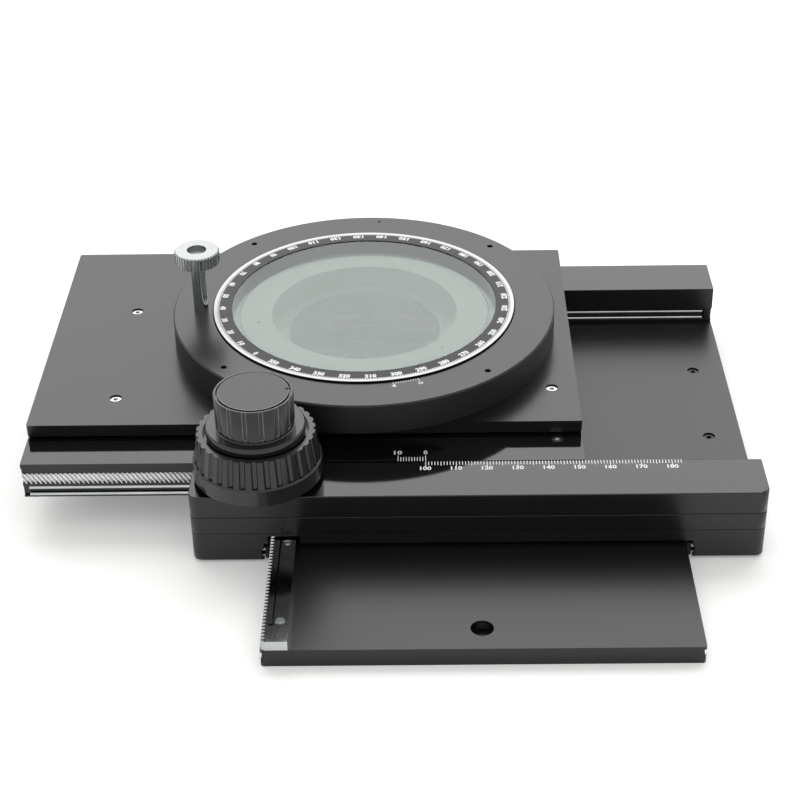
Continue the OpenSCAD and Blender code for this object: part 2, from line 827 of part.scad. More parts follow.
module clamp_head() {
    color("#e6e8e8") at_clamp() difference() {
        rotate_extrude() polygon([
            [0, clamp_head_z], [clamp_head_r - 0.5, clamp_head_z],
            [clamp_head_r, clamp_head_z + 0.5], [clamp_head_r, clamp_head_z + clamp_head_t - 0.5],
            [clamp_head_r - 0.5, clamp_head_z + clamp_head_t], [0, clamp_head_z + clamp_head_t]
        ]);
        post(clamp_stem_r, clamp_head_z - cut, clamp_head_z + 2.5);
        post(3.4, clamp_head_z + 3.2, clamp_head_z + clamp_head_t + cut);
        for (i = [0:clamp_notches - 1]) rotate([0, 0, i * 360 / clamp_notches])
            translate([clamp_head_r + 0.1, 0, clamp_head_z - cut])
                cylinder(r = 0.4, h = clamp_head_t + 2 * cut, $fn = 16);
    }
}

module clamp_stem() {
    color("#dddfe0") at_clamp() post(clamp_stem_r, ring_flange_top + 0.6, clamp_head_z + 2.5);
}

// Brass tip that presses on the turning ring's foot
module clamp_pad() {
    color("#b98f4b") at_clamp() post(2.2, ring_flange_top + 0.1, ring_flange_top + 0.6);
}

// ---- Knobs, shafts and pinions ----

module big_knob() {
    lean = atan((flute_r - rim_r) / (rim_z - flute_low));
    color("#2a2b2b") at_knob() difference() {
        rotate_extrude() polygon([
            [tube_r, bush_flange_top + 0.1], [7.5, bush_flange_top + 0.1], [7.5, skirt_z],
            [skirt_r - 0.4, skirt_z], [skirt_r, skirt_z + 0.4], [skirt_r, flute_low - 0.5],
            [flute_r, flute_low], [rim_r, rim_z], [recess_r, rim_z], [recess_r, recess_z],
            [tube_r, recess_z]
        ]);
        for (i = [0:big_flutes - 1]) rotate([0, 0, flute_turn + i * 360 / big_flutes])
            translate([flute_r + 1.1 - flute_depth, 0, flute_low]) rotate([0, -lean, 0])
                cylinder(r = 1.1, h = 12, $fn = 24);
        rotate([0, 0, grub_angle]) translate([0, 0, grub_z]) rotate([0, 90, 0])
            cylinder(r = grub_r, h = skirt_r + cut, $fn = 32);
    }
}

module big_knob_grub() {
    color("#4a4c4d") at_knob() rotate([0, 0, grub_angle]) translate([tube_r, 0, grub_z])
        rotate([0, 90, 0]) cylinder(r = grub_r, h = 6, $fn = 32);
}

module x_knob_tube() {
    color("#c9cccd") at_knob() tube(tube_r, tube_bore, top_bar_z + 0.1, recess_z - top_bar_z - 0.1);
}

module x_pinion() {
    color("#c9cccd") at_knob()
        pinion(x_pinion_teeth, tube_r, x_pinion_z, x_pinion_t, x_rack_z + x_rack_t / 2);
}

module drag_washer() color("#e9e6dc") at_knob() tube(12.5, shaft_r + 2, recess_z + 0.05, 1.45);

module small_knob() {
    color("#2a2b2b") at_knob() difference() {
        rotate_extrude() polygon([
            [shaft_r, flange_z], [flange_r - 0.3, flange_z], [flange_r, flange_z + 0.3],
            [flange_r, flange_top - 0.4], [flange_r - 0.4, flange_top], [small_r, flange_top],
            [small_r, small_z - 0.2], [small_r - 0.2, small_z], [cap_pocket_r, small_z],
            [cap_pocket_r, cap_z], [shaft_r, cap_z]
        ]);
        for (i = [0:small_flutes - 1]) rotate([0, 0, small_flute_turn + i * 360 / small_flutes])
            translate([small_r + 0.45, 0, small_flute_low])
                cylinder(r = 0.8, h = 12, $fn = 24);
        rotate([0, 0, grub_angle]) translate([0, 0, small_grub_z]) rotate([0, 90, 0])
            cylinder(r = small_grub_r, h = flange_r + cut, $fn = 32);
    }
}

module small_knob_cap() color("#3c3d3e") at_knob() post(cap_r, cap_z, cap_top);

module small_knob_grub() {
    color("#4a4c4d") at_knob() rotate([0, 0, grub_angle]) translate([shaft_r, 0, small_grub_z])
        rotate([0, 90, 0]) cylinder(r = small_grub_r, h = 5, $fn = 32);
}

module y_knob_shaft() color("#c9cccd") at_knob() post(shaft_r, y_pinion_z + 0.1, cap_z);

module y_pinion() {
    color("#c9cccd") at_knob() {
        rotate([0, 0, -90])
            pinion(y_pinion_teeth, shaft_r, y_pinion_z, y_pinion_t, y_rack_z + y_rack_t / 2);
        tube(3.6, shaft_r, y_pinion_z + y_pinion_t - 0.3, 1.9);
    }
}

// ---- Scene ----

base_plate();
y_rack_bar();
y_rack_screws();
base_guide_rods();
y_stop_pin();
y_ball_cages();
y_guide_balls();
mid_plate();
side_rail_left();
side_rail_right();
side_rail_screws();
side_guide_rods();
front_guide_bar();
front_top_bar();
rear_guide_bar();
rear_top_bar();
rail_screws();
rail_guide_rods();
rail_end_stops();
x_stop_post();
upper_bush();
lower_bush();
x_ball_cages();
x_guide_balls();
slide_plate();
x_rack();
x_rack_screws();
front_guide_strip();
rear_guide_strip();
slide_guide_rods();
slide_screws();
x_stop_dogs();
top_plate();
top_plate_screws();
table_seat();
table_slide_ring();
ring_housing();
ring_screws();
scale_ring();
glass_disc();
clamp_head();
clamp_stem();
clamp_pad();
big_knob();
big_knob_grub();
x_knob_tube();
x_pinion();
drag_washer();
small_knob();
small_knob_cap();
small_knob_grub();
y_knob_shaft();
y_pinion();
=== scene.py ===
"""Looks of a mechanical microscope stage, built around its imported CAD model.

Lengths in the classes are millimetres in the CAD frame: +X right, +Y back, +Z up, with the
origin under the middle of the base plate. MM turns them into Blender's metres.
"""
import logging
import math
from dataclasses import dataclass
from typing import Any, ClassVar

import bmesh
import bpy
from mathutils import Matrix, Vector


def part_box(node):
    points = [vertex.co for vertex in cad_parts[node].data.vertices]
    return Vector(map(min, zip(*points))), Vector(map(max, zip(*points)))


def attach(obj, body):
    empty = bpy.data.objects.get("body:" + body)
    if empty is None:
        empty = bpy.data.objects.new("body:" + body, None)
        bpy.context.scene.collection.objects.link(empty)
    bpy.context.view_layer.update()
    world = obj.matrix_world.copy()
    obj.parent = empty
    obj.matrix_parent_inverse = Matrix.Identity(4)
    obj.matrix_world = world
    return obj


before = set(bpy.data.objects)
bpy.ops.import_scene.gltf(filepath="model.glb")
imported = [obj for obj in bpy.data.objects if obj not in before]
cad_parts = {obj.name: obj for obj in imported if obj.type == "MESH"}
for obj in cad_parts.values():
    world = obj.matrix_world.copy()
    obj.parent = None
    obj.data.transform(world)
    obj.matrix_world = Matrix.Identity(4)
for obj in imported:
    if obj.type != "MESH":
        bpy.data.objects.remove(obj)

log = logging.getLogger("microscope_stage")

MM = 0.001

Pair = tuple[float, float]
Point = tuple[float, float, float]
Colour = tuple[float, float, float, float]


# ---- Colours and shader nodes ----


def linear(code: str) -> Colour:
    """Turns an sRGB hex colour into linear light.

    Args:
        code: The colour as "#rrggbb".

    Returns:
        Red, green, blue and an alpha of 1.
    """
    parts = [int(code[i : i + 2], 16) / 255 for i in (1, 3, 5)]
    red, green, blue = (
        p / 12.92 if p <= 0.04045 else ((p + 0.055) / 1.055) ** 2.4 for p in parts
    )
    return red, green, blue, 1.0


def per(size_mm: float) -> float:
    """The scale of a pattern whose features are this many millimetres across."""
    return 1 / (size_mm * MM)


def add(
    tree: bpy.types.NodeTree,
    kind: str,
    inputs: dict[str | int, Any] | None = None,
    **settings: Any,
) -> bpy.types.Node:
    """Adds a node to a tree.

    Args:
        tree: The node tree.
        kind: Blender's name of the node type.
        inputs: A value or an output socket for each named or numbered input.
        settings: The node's own properties.

    Returns:
        The new node.
    """
    made = tree.nodes.new(kind)
    for name, value in settings.items():
        setattr(made, name, value)
    for name, value in (inputs or {}).items():
        if isinstance(value, bpy.types.NodeSocket):
            tree.links.new(value, made.inputs[name])
        else:
            made.inputs[name].default_value = value
    return made


def new_tree(name: str) -> tuple[bpy.types.Material, bpy.types.NodeTree]:
    """An empty material and its node tree."""
    material = bpy.data.materials.new(name)
    material.use_nodes = True
    material.node_tree.nodes.clear()
    return material, material.node_tree


def finish_surface(tree: bpy.types.NodeTree, shader: bpy.types.Node) -> None:
    """Links a shader node to a new output node."""
    add(tree, "ShaderNodeOutputMaterial", {"Surface": shader.outputs[0]})


def ramp(
    tree: bpy.types.NodeTree,
    value: bpy.types.NodeSocket,
    source: tuple[float, float] = (0.0, 1.0),
    target: tuple[Any, Any] = (0.0, 1.0),
) -> bpy.types.NodeSocket:
    """Maps one range of values to another.

    Args:
        tree: The node tree.
        value: What is mapped.
        source: The range it comes from.
        target: The range it goes to, as numbers or sockets.

    Returns:
        The mapped value.
    """
    ends = {
        "Value": value,
        "From Min": source[0],
        "From Max": source[1],
        "To Min": target[0],
        "To Max": target[1],
    }
    return add(tree, "ShaderNodeMapRange", ends).outputs[0]


def noise(
    tree: bpy.types.NodeTree, place: bpy.types.NodeSocket, size_mm: float, detail: float = 3.0
) -> bpy.types.NodeSocket:
    """A noise in three dimensions.

    Args:
        tree: The node tree.
        place: The coordinates it is drawn in.
        size_mm: The size of its features.
        detail: How many finer layers it has.

    Returns:
        A value about a half.
    """
    settings = {"Vector": place, "Scale": per(size_mm), "Detail": detail}
    return add(tree, "ShaderNodeTexNoise", settings).outputs["Fac"]


def tool_lines(
    tree: bpy.types.NodeTree,
    place: bpy.types.NodeSocket,
    width_mm: float,
    run: Point,
    centre: Pair | None,
    ring_detail: float,
) -> bpy.types.NodeSocket:
    """The lines that a cutter, a grinder or a lathe leaves.

    Args:
        tree: The node tree.
        place: The object coordinates.
        width_mm: Width of a line.
        run: Scale of the noise along each axis; it is small along straight lines.
        centre: X and Y of the turning axis, or None for straight lines.
        ring_detail: How many finer layers turned rings have.

    Returns:
        A value that changes across the lines.
    """
    if centre is None:
        drawn = add(tree, "ShaderNodeMapping", {"Vector": place, "Scale": run}).outputs[0]
        return noise(tree, drawn, width_mm)
    axis = (centre[0] * MM, centre[1] * MM, 0)
    from_axis = add(tree, "ShaderNodeVectorMath", {0: place, 1: axis}, operation="SUBTRACT")
    flat = add(
        tree, "ShaderNodeVectorMath", {0: from_axis.outputs[0], 1: (1, 1, 0)}, operation="MULTIPLY"
    )
    radius = add(tree, "ShaderNodeVectorMath", {0: flat.outputs[0]}, operation="LENGTH")
    return add(
        tree,
        "ShaderNodeTexNoise",
        {"W": radius.outputs["Value"], "Scale": per(width_mm), "Detail": ring_detail},
        noise_dimensions="1D",
    ).outputs["Fac"]


def blend(
    tree: bpy.types.NodeTree, share: bpy.types.NodeSocket, low: str, high: str
) -> bpy.types.NodeSocket:
    """Mixes two sRGB hex colours.

    Args:
        tree: The node tree.
        share: How much of the second colour there is.
        low: The first colour.
        high: The second colour.

    Returns:
        The mixed colour.
    """
    colours = {0: share, 6: linear(low), 7: linear(high)}
    return add(tree, "ShaderNodeMix", colours, data_type="RGBA").outputs[2]


def relief(
    tree: bpy.types.NodeTree, height: bpy.types.NodeSocket, strength: float, depth_mm: float
) -> bpy.types.NodeSocket:
    """A bump for texture too fine to model.

    Args:
        tree: The node tree.
        height: The height pattern.
        strength: How much of it shows.
        depth_mm: How deep it is.

    Returns:
        The bent normal.
    """
    settings = {"Strength": strength, "Distance": depth_mm * MM, "Height": height}
    return add(tree, "ShaderNodeBump", settings).outputs[0]


def object_place(tree: bpy.types.NodeTree) -> bpy.types.NodeSocket:
    """The object coordinates, in metres, for a material's node tree."""
    return add(tree, "ShaderNodeTexCoord").outputs["Object"]


# ---- Finishes ----


@dataclass(frozen=True)
class Finish:
    """What every finish has: a name and a way to build its material once."""

    name: str

    def material(self) -> bpy.types.Material:
        """The material of this finish, built when it is first asked for."""
        return bpy.data.materials.get(self.name) or self.build()

    def build(self) -> bpy.types.Material:
        """Builds the material."""
        raise NotImplementedError


@dataclass(frozen=True)
class AnodisedAluminium(Finish):
    """Milled or turned aluminium, bead blasted and dyed black when anodised.

    The oxide is a clear dielectric over a black dye, so the face is near black where it
    looks at something dark and grey where it looks at a bright wall. The cutter's path
    stays as faint streaks under the blasting.
    """

    tone: str = "#0b0c0c"
    pale: str = "#101111"
    ior: float = 1.5
    roughness: float = 0.2
    spread: float = 0.02
    ground: float | None = None  # Roughness of the faces that look up, when they differ
    grain_mm: float = 0.5  # Blasted pits are about 0.05 mm; ten times coarser they show
    grain_depth_mm: float = 0.02
    grain_strength: float = 0.12
    cloud_mm: float = 24.0  # Patches that handling leaves
    streak_mm: float = 1.2
    streak_run: float = 0.02
    tone_range: Pair = (0.3, 1.7)
    rough_range: Pair = (0.7, 1.3)
    upward_range: Pair = (0.9, 0.98)
    centre: Pair | None = None

    def build(self) -> bpy.types.Material:
        """Builds the material."""
        material, tree = new_tree(self.name)
        place = object_place(tree)
        run = (self.streak_run, 1, 1)
        path = tool_lines(tree, place, self.streak_mm, run, self.centre, ring_detail=3.0)
        grain = noise(tree, place, self.grain_mm, detail=2.0)
        cloud = noise(tree, place, self.cloud_mm)
        mixed = add(tree, "ShaderNodeMath", {0: path, 1: cloud}, operation="ADD").outputs[0]
        colour = blend(tree, ramp(tree, mixed, self.tone_range), self.tone, self.pale)
        half = self.spread / 2
        rough = ramp(
            tree, mixed, self.rough_range, (self.roughness - half, self.roughness + half)
        )
        if self.ground is not None:
            normal = add(tree, "ShaderNodeNewGeometry").outputs["Normal"]
            upward = add(tree, "ShaderNodeSeparateXYZ", {0: normal}).outputs["Z"]
            rough = ramp(tree, upward, self.upward_range, (rough, self.ground))
        bump = relief(tree, grain, self.grain_strength, self.grain_depth_mm)
        shader = add(
            tree,
            "ShaderNodeBsdfPrincipled",
            {"Base Color": colour, "Roughness": rough, "Normal": bump, "IOR": self.ior},
        )
        finish_surface(tree, shader)
        return material


@dataclass(frozen=True)
class BareMetal(Finish):
    """Uncoated or plated metal with the fine lines of grinding, drawing or turning.

    Lines run along X or Y, or round a centre; they spread each highlight across them.
    """

    tone: str = "#c9cbcc"
    dark: str = "#a9acae"
    roughness: float = 0.2
    spread: float = 0.1
    smoothest: float = 0.03
    line_mm: float = 0.25
    line_range: Pair = (0.3, 0.7)
    line_strength: float = 0.35
    run: Point = (0.03, 1.0, 1.0)
    depth_mm: float = 0.004
    film_mm: float = 6.0  # Soft patches that oil and handling leave
    centre: Pair | None = None

    def build(self) -> bpy.types.Material:
        """Builds the material."""
        material, tree = new_tree(self.name)
        place = object_place(tree)
        lines = tool_lines(tree, place, self.line_mm, self.run, self.centre, ring_detail=2.0)
        colour = blend(tree, noise(tree, place, self.film_mm), self.dark, self.tone)
        half = self.spread / 2
        smooth = max(self.smoothest, self.roughness - half)
        rough = ramp(tree, lines, self.line_range, (smooth, self.roughness + half))
        bump = relief(tree, lines, self.line_strength, self.depth_mm)
        shader = add(
            tree,
            "ShaderNodeBsdfPrincipled",
            {"Base Color": colour, "Roughness": rough, "Normal": bump, "Metallic": 1.0},
        )
        finish_surface(tree, shader)
        return material


@dataclass(frozen=True)
class MouldedNylon(Finish):
    """Turned natural nylon: off-white, slightly translucent and matt."""

    tone: str = "#dcd8cc"
    pale: str = "#ece9df"
    cloud_mm: float = 3.0
    roughness: float = 0.5
    bump_strength: float = 0.2
    bump_mm: float = 0.02
    scatter: float = 0.1
    scatter_mm: Point = (0.5, 0.5, 0.4)

    def build(self) -> bpy.types.Material:
        """Builds the material."""
        material, tree = new_tree(self.name)
        cloud = noise(tree, object_place(tree), self.cloud_mm)
        shader = add(
            tree,
            "ShaderNodeBsdfPrincipled",
            {
                "Base Color": blend(tree, cloud, self.tone, self.pale),
                "Roughness": self.roughness,
                "Normal": relief(tree, cloud, self.bump_strength, self.bump_mm),
                "Subsurface Weight": self.scatter,
                "Subsurface Radius": tuple(depth * MM for depth in self.scatter_mm),
            },
        )
        finish_surface(tree, shader)
        return material


@dataclass(frozen=True)
class FloatGlass(Finish):
    """Float glass with a film of dust: clear when seen squarely, a pale mirror on a slant.

    Light passes straight through, so that it reaches what lies under the thin disc. The
    mirror's share grows with the square of the slant, the same on both faces.
    """

    tone: str = "#ecf1ee"
    pale: str = "#f2f6f4"
    square: float = 0.03
    grazing: float = 0.34
    growth: float = 2.0
    roughness: float = 0.12
    dust_mm: float = 12.0

    def build(self) -> bpy.types.Material:
        """Builds the material."""
        material, tree = new_tree(self.name)
        dust = noise(tree, object_place(tree), self.dust_mm, detail=4.0)
        tint = blend(tree, dust, self.tone, self.pale)
        clear = add(tree, "ShaderNodeBsdfTransparent", {"Color": tint}).outputs[0]
        mirror = add(
            tree, "ShaderNodeBsdfAnisotropic", {"Color": tint, "Roughness": self.roughness}
        ).outputs[0]
        facing = add(tree, "ShaderNodeLayerWeight", {"Blend": 0.5}).outputs["Facing"]
        slant = add(
            tree, "ShaderNodeMath", {0: facing, 1: self.growth}, operation="POWER"
        ).outputs[0]
        share = ramp(tree, slant, target=(self.square, self.grazing))
        shader = add(tree, "ShaderNodeMixShader", {0: share, 1: clear, 2: mirror})
        finish_surface(tree, shader)
        return material


@dataclass(frozen=True)
class FilledEngraving(Finish):
    """White paint in laser-cut marks: matt, chalky and slightly uneven."""

    tone: str = "#f1f2ef"
    dull: str = "#d6d8d5"
    chalk_mm: float = 0.4
    roughness: float = 0.6
    bump_strength: float = 0.3
    bump_mm: float = 0.01

    def build(self) -> bpy.types.Material:
        """Builds the material."""
        material, tree = new_tree(self.name)
        chalk = noise(tree, object_place(tree), self.chalk_mm)
        shader = add(
            tree,
            "ShaderNodeBsdfPrincipled",
            {
                "Base Color": blend(tree, chalk, self.dull, self.tone),
                "Roughness": self.roughness,
                "Normal": relief(tree, chalk, self.bump_strength, self.bump_mm),
            },
        )
        finish_surface(tree, shader)
        return material


TABLE_CENTRE = (-38.1, 72.35)
KNOB_CENTRE = (-70.7, -11.15)
CLAMP_CENTRE = (-96.07, 70.53)

PLATE_BLACK = AnodisedAluminium("black anodised milled plate", roughness=0.27)
BLASTED_BLACK = AnodisedAluminium("black anodised blasted plate", roughness=0.34)
GLOSS_BLACK = AnodisedAluminium("black anodised ground slideway", roughness=0.27, ground=0.07)
RING_BLACK = AnodisedAluminium(
    "black anodised turned ring", centre=TABLE_CENTRE, roughness=0.5, ground=0.26
)
SEAT_GREY = AnodisedAluminium(
    "grey anodised turned seat",
    tone="#424845",
    pale="#4a504d",
    centre=TABLE_CENTRE,
    roughness=0.4,
)
KNOB_BLACK = AnodisedAluminium(
    "black anodised turned knob",
    centre=KNOB_CENTRE,
    roughness=0.2,
    streak_mm=0.5,
    tone="#1d1e1e",
    pale="#222323",
)
CAP_BLACK = AnodisedAluminium(
    "satin black turned cap", centre=KNOB_CENTRE, roughness=0.3, streak_mm=0.35
)
SCALE_BLACK = AnodisedAluminium(
    "black anodised scale ring",
    centre=TABLE_CENTRE,
    roughness=0.2,
    ior=1.3,
    tone="#0c100e",
    pale="#111513",
)
# Bright bare metal on the broken edges: partly wear through the anodising, partly a painted
# highlight for the thin bright lines along the edges.
WORN_EDGE_HIGHLIGHT = BareMetal(
    "worn edge with painted highlight", tone="#9a9c9d", dark="#6f7172", roughness=0.35
)
GROUND_STEEL = BareMetal("ground steel", roughness=0.1, spread=0.06, run=(1.0, 0.03, 1.0))
RACK_STEEL = BareMetal("milled steel rack", tone="#f2f3f3", dark="#e2e3e3", roughness=0.34)
ROD_STEEL = BareMetal("polished hardened steel", tone="#d4d6d7", roughness=0.1, spread=0.06)
SCREW_STEEL = BareMetal("stainless screw steel", tone="#d6d8d8", roughness=0.22, run=(1, 1, 1))
DARK_STEEL = BareMetal("blackened steel", tone="#3c3e40", dark="#2c2e2f", roughness=0.35)
CAGE_BRASS = BareMetal("rolled brass strip", tone="#8a7348", dark="#6d5a36", roughness=0.35)
BRONZE = BareMetal("sintered bronze", tone="#b58b4d", dark="#94703a", roughness=0.42, run=(1, 1, 1))
TURNED_ALUMINIUM = BareMetal(
    "turned bright aluminium",
    tone="#a2a4a4",
    dark="#969898",
    roughness=0.3,
    line_mm=0.3,
    centre=CLAMP_CENTRE,
)
MACHINED = AnodisedAluminium(
    "thinly anodised machined face",
    centre=TABLE_CENTRE,
    roughness=0.4,
    tone="#3c3e3d",
    pale="#454746",
)
MATT_BLACK = AnodisedAluminium("matt black", roughness=0.8, tone="#0a0a0a", pale="#121212")
CHROME = BareMetal("chrome plated stem", tone="#b9bcbb", dark="#a6a9a8", roughness=0.2, spread=0.06)
NYLON = MouldedNylon("natural nylon")
GLASS = FloatGlass("float glass")
MARKS = FilledEngraving("white filled engraving")


# ---- Mesh tools ----


MERGE_MM = 1e-5
WELD_MM = 0.001
BREAK_ANGLE = 50
BREAK_SEGMENTS = 2
DISC_STEPS = 24
LEDGE_STEPS = 96
BAND_STEPS = 180


def piece(
    name: str, mesh: bmesh.types.BMesh, finish: Finish, body: str
) -> bpy.types.Object:
    """Turns a bmesh into a dressed object that rides on a body.

    Args:
        name: The object's name.
        mesh: The shape in millimetres, in the CAD frame; it is freed.
        finish: What it is made of.
        body: The CAD body that carries it.

    Returns:
        The new object.
    """
    bmesh.ops.remove_doubles(mesh, verts=mesh.verts, dist=MERGE_MM)
    bmesh.ops.recalc_face_normals(mesh, faces=mesh.faces)
    bmesh.ops.scale(mesh, vec=(MM, MM, MM), verts=mesh.verts)
    data = bpy.data.meshes.new(name)
    mesh.to_mesh(data)
    mesh.free()
    data.materials.append(finish.material())
    made = bpy.data.objects.new(name, data)
    bpy.context.scene.collection.objects.link(made)
    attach(made, body)
    log.info("%s: %d faces on %s", name, len(data.polygons), body)
    return made


def bar(mesh: bmesh.types.BMesh, size: Point, place: Matrix) -> None:
    """Adds a box.

    Args:
        mesh: The bmesh that gets the box.
        size: Its lengths.
        place: Its middle and its turn.
    """
    bmesh.ops.create_cube(mesh, size=1, matrix=place @ Matrix.Diagonal((*size, 1)))


def flat_ring(
    mesh: bmesh.types.BMesh, radii: Pair, heights: Pair, centre: Pair, steps: int
) -> None:
    """Adds a solid ring with a square section.

    Args:
        mesh: The bmesh that gets the ring.
        radii: Inner and outer radius.
        heights: Bottom and top.
        centre: X and Y of the axis.
        steps: Faces round the ring.
    """
    (inner, outer), (low, high) = radii, heights
    profile = [(inner, low), (outer, low), (outer, high), (inner, high)]
    corners = [mesh.verts.new((centre[0] + r, centre[1], z)) for r, z in profile]
    edges = [mesh.edges.new((a, b)) for a, b in zip(corners, corners[1:] + corners[:1])]
    bmesh.ops.spin(
        mesh,
        geom=corners + edges,
        cent=(*centre, 0),
        axis=(0, 0, 1),
        angle=math.tau,
        steps=steps,
        use_merge=True,
        use_duplicate=False,
    )


def prism(
    mesh: bmesh.types.BMesh, radius: float, depth: float, place: Matrix, sides: int
) -> None:
    """Adds a flat prism.

    Args:
        mesh: The bmesh that gets it.
        radius: Distance of its corners from the axis.
        depth: Its height.
        place: Its middle and its turn.
        sides: Number of sides.
    """
    bmesh.ops.create_cone(
        mesh,
        cap_ends=True,
        segments=sides,
        radius1=radius,
        radius2=radius,
        depth=depth,
        matrix=place,
    )


def break_edges(node: bpy.types.Object, width_mm: float) -> bpy.types.BevelModifier:
    """Breaks a CAD node's sharp edges with modifiers, as a deburring tool would.

    Args:
        node: The CAD node.
        width_mm: Width of the small chamfer.

    Returns:
        The bevel, whose faces can get a material of their own.
    """
    weld = node.modifiers.new("weld", "WELD")
    weld.merge_threshold = WELD_MM * MM
    bevel = node.modifiers.new("broken edges", "BEVEL")
    bevel.width = width_mm * MM
    bevel.segments = BREAK_SEGMENTS
    bevel.limit_method = "ANGLE"
    bevel.angle_limit = math.radians(BREAK_ANGLE)
    bevel.harden_normals = True
    bevel.use_clamp_overlap = False
    return bevel


def lift(node: bpy.types.Object, gap_mm: float) -> None:
    """Leaves a hair of air under a CAD node that lies flat on its neighbour.

    Args:
        node: The CAD node.
        gap_mm: How far it is raised.
    """
    upward = node.modifiers.new("air gap", "DISPLACE")
    upward.direction = "Z"
    upward.strength = gap_mm * MM
    upward.mid_level = 0


@dataclass(frozen=True)
class Numerals:
    """Plain numbers of one size, cut as thin solids."""

    height: float
    digit_width: float
    depth: float
    weight: float = 0.03
    half_depth: float = 0.5
    curve_steps: int = 2

    def stamp(self, mesh: bmesh.types.BMesh, text: str, place: Matrix) -> None:
        """Adds a number.

        Args:
            mesh: The bmesh that gets the number.
            text: The digits.
            place: Where its middle goes, with X along the line of digits.
        """
        curve = bpy.data.curves.new("numeral", "FONT")
        curve.body = text
        curve.extrude = self.half_depth
        curve.offset = self.weight
        curve.resolution_u = self.curve_steps
        holder = bpy.data.objects.new("numeral", curve)
        bpy.context.scene.collection.objects.link(holder)
        depsgraph = bpy.context.evaluated_depsgraph_get()
        data = bpy.data.meshes.new_from_object(holder.evaluated_get(depsgraph))
        xs = [v.co.x for v in data.vertices]
        ys = [v.co.y for v in data.vertices]
        middle = Vector(((min(xs) + max(xs)) / 2, (min(ys) + max(ys)) / 2, 0))
        wide = self.digit_width * len(text) / (max(xs) - min(xs))
        high = self.height / (max(ys) - min(ys))
        data.transform(
            place @ Matrix.Diagonal((wide, high, self.depth, 1)) @ Matrix.Translation(-middle)
        )
        mesh.from_mesh(data)
        bpy.data.objects.remove(holder)
        bpy.data.curves.remove(curve)
        bpy.data.meshes.remove(data)


# ---- Sub-assemblies ----


class SubAssembly:
    """A group of CAD nodes and added pieces that is dressed together."""

    finishes: ClassVar[dict[str, Finish]] = {}
    eased: ClassVar[dict[str, float]] = {}
    burnished: ClassVar[dict[str, float]] = {}

    def dress(self) -> None:
        """Gives each CAD node of the group its finish and breaks its sharp edges."""
        for node, finish in self.finishes.items():
            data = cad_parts[node].data
            data.materials.clear()
            data.materials.append(finish.material())
            log.info("%s is %s", node, finish.name)
        for node, width in self.eased.items():
            break_edges(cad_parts[node], width)
        # These nodes' broken edges get the bright bare metal: partly wear, partly a painted
        # highlight.
        for node, width in self.burnished.items():
            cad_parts[node].data.materials.append(WORN_EDGE_HIGHLIGHT.material())
            break_edges(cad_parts[node], width).material = 1

    def build(self) -> None:
        """Adds the group's own pieces."""


@dataclass
class BasePlate(SubAssembly):
    """The plate that is bolted down, with the Y rack on it."""

    finishes: ClassVar[dict[str, Finish]] = {
        "base_plate": BLASTED_BLACK,
        "y_rack_bar": GROUND_STEEL,
        "y_rack_screws": SCREW_STEEL,
        "base_guide_rods": ROD_STEEL,
        "y_stop_pin": ROD_STEEL,
    }


@dataclass
class BallGuides(SubAssembly):
    """The balls and their cages."""

    finishes: ClassVar[dict[str, Finish]] = {
        "y_ball_cages": CAGE_BRASS,
        "y_guide_balls": ROD_STEEL,
        "x_ball_cages": CAGE_BRASS,
        "x_guide_balls": ROD_STEEL,
    }


@dataclass
class StageFrame(SubAssembly):
    """Mid plate, side rails and the two X rails, with the scale on the front rail."""

    rail_top: float = 25.8
    zero_x: float = -16.68
    divisions: int = 83
    first_number: int = 100
    edge_y: float = -5.15
    short: float = 2.0
    middle: float = 2.4
    long: float = 2.9
    line: float = 0.26
    proud: float = 0.02
    label_y: float = -8.95
    digit: Pair = (2.1, 1.22)
    wiper: Point = (1.3, 2.0, 4.6)
    wiper_x: float = 68.12
    wiper_y: Pair = (-22.95, 125.65)
    wiper_z: float = 3.6

    finishes: ClassVar[dict[str, Finish]] = {
        "mid_plate": BLASTED_BLACK,
        "side_rail_left": PLATE_BLACK,
        "side_rail_right": PLATE_BLACK,
        "side_rail_screws": DARK_STEEL,
        "side_guide_rods": ROD_STEEL,
        "front_guide_bar": PLATE_BLACK,
        "front_top_bar": GLOSS_BLACK,
        "rear_guide_bar": PLATE_BLACK,
        "rear_top_bar": GLOSS_BLACK,
        "rail_screws": DARK_STEEL,
        "rail_guide_rods": ROD_STEEL,
        "rail_end_stops": DARK_STEEL,
        "x_stop_post": ROD_STEEL,
        "upper_bush": BRONZE,
        "lower_bush": BRONZE,
    }
    eased: ClassVar[dict[str, float]] = {
        "side_rail_left": 0.15,
        "front_guide_bar": 0.2,
        "front_top_bar": 0.35,
        "rear_guide_bar": 0.2,
    }

    def build(self) -> None:
        """Adds the scale along the front rail's rear edge, and matt black blocks in the ends of the
        side guides.
        """
        mesh = bmesh.new()
        for i in range(self.divisions + 1):
            length = self.long if i % 10 == 0 else self.middle if i % 5 == 0 else self.short
            bar(
                mesh,
                (self.line, length, 2 * self.proud),
                Matrix.Translation((self.zero_x + i, self.edge_y - length / 2, self.rail_top)),
            )
        digits = Numerals(*self.digit, depth=2 * self.proud)
        for i in range(0, self.divisions + 1, 10):
            digits.stamp(
                mesh,
                str(self.first_number + i),
                Matrix.Translation((self.zero_x + i, self.label_y, self.rail_top)),
            )
        piece("x_scale", mesh, MARKS, "stage_frame")
        # Matt black blocks that close the front and rear ends of the side guides' gaps.
        mesh = bmesh.new()
        for side in (-1, 1):
            for y in self.wiper_y:
                bar(mesh, self.wiper, Matrix.Translation((side * self.wiper_x, y, self.wiper_z)))
        piece("guide_end_blocks", mesh, MATT_BLACK, "stage_frame")


